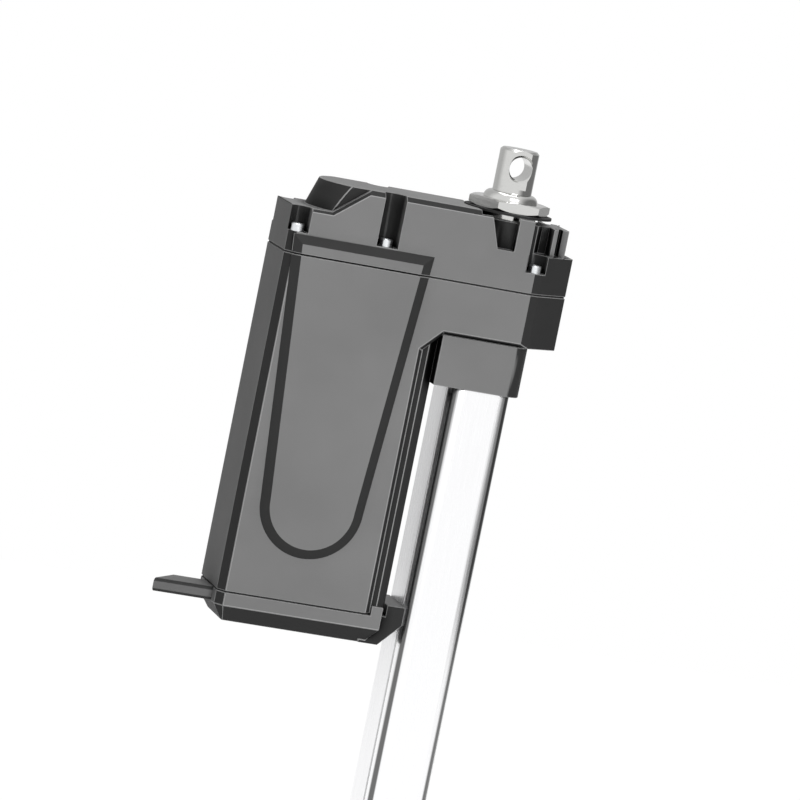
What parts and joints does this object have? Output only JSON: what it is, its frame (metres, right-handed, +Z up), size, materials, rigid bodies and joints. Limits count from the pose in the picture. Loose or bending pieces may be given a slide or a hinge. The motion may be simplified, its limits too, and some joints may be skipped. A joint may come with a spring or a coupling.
{
  "type": "electric rod actuator",
  "caption": "Electric rod actuator with its geared motor beside an aluminium tube, a steel rear clevis with a cross bore and a push rod that extends below",
  "frame": {"origin": "middle of the rear clevis cross bore, on the spindle axis", "axes": "+Z up the tube towards the rear clevis, +X right along the front face away from the motor, +Y to the back; the rod extends towards -Z"},
  "size_m": [0.1863, 0.0486, 0.4367],
  "materials": {
    "housing_plastic": "fine moulded texture",
    "rubber": "matt",
    "zinc_steel": "zinc plated",
    "bright_steel": "turned and polished",
    "anodised_aluminium": "clear anodised",
    "guide_plastic": "moulded",
    "gear_plastic": "natural acetal",
    "bronze": "sintered",
    "copper": "enamelled wire and copper bars",
    "plated_can": "zinc plated sheet",
    "ferrite": "sintered",
    "carbon": "pressed carbon",
    "circuit_board": "solder mask"
  },
  "bodies": {
    "housing": {"gear_cover": "housing_plastic", "motor_housing": "housing_plastic", "end_cap": "housing_plastic", "cable_boot": "rubber", "cover_gasket": "rubber", "cap_gasket": "rubber", "clevis_seal": "rubber", "rod_wiper": "rubber", "cover_screws": "zinc_steel", "cap_screws": "zinc_steel", "rear_clevis": "bright_steel", "bearing_outer_race": "bright_steel", "bearing_balls": "bright_steel", "idler_pins": "bright_steel", "outer_tube": "anodised_aluminium", "front_guide": "guide_plastic", "motor_bushes": "bronze", "motor_can": "plated_can", "motor_magnets": "ferrite", "motor_end_plate": "guide_plastic", "motor_brushes": "carbon", "encoder_board": "circuit_board", "sensor_strip": "circuit_board", "end_sensors": "carbon", "control_board": "circuit_board"},
    "motor_rotor": {"motor_shaft": "bright_steel", "armature": "ferrite", "armature_windings": "copper", "commutator": "copper", "motor_pinion": "bronze", "encoder_magnet": "ferrite"},
    "first_idler": {"idler_gear_a": "gear_plastic"},
    "second_idler": {"idler_gear_b": "gear_plastic"},
    "screw": {"spindle": "bright_steel", "spindle_gear": "gear_plastic", "bearing_inner_race": "bright_steel", "retaining_ring": "bright_steel"},
    "rod": {"drive_nut": "gear_plastic", "nut_magnet": "ferrite", "push_rod": "bright_steel", "front_eye": "bright_steel"}
  },
  "joints": [
    {"name": "rod_extension", "type": "slide", "parent": "housing", "child": "rod", "axis": [0, 0, -1], "range_m": [0, 0.2]},
    {"name": "spindle_turn", "type": "hinge", "parent": "housing", "child": "screw", "pos_m": [0, 0, 0], "axis": [0, 0, 1], "range_deg": [0, 6020]},
    {"name": "second_idler_turn", "type": "hinge", "parent": "housing", "child": "second_idler", "pos_m": [-0.02625, 0, 0], "axis": [0, 0, 1], "range_deg": [-15010, 0]},
    {"name": "first_idler_turn", "type": "hinge", "parent": "housing", "child": "first_idler", "pos_m": [-0.05187, 0, 0], "axis": [0, 0, 1], "range_deg": [0, 36260]},
    {"name": "motor_turn", "type": "hinge", "parent": "housing", "child": "motor_rotor", "pos_m": [-0.0775, 0, 0], "axis": [0, 0, -1], "range_deg": [0, 87620]}
  ],
  "couplings": [
    {"joint": "spindle_turn", "follows": "rod_extension", "rad_per_m": 523.6},
    {"joint": "second_idler_turn", "follows": "rod_extension", "rad_per_m": -1309},
    {"joint": "first_idler_turn", "follows": "rod_extension", "rad_per_m": 3163.4},
    {"joint": "motor_turn", "follows": "rod_extension", "rad_per_m": 7644.9}
  ]
}
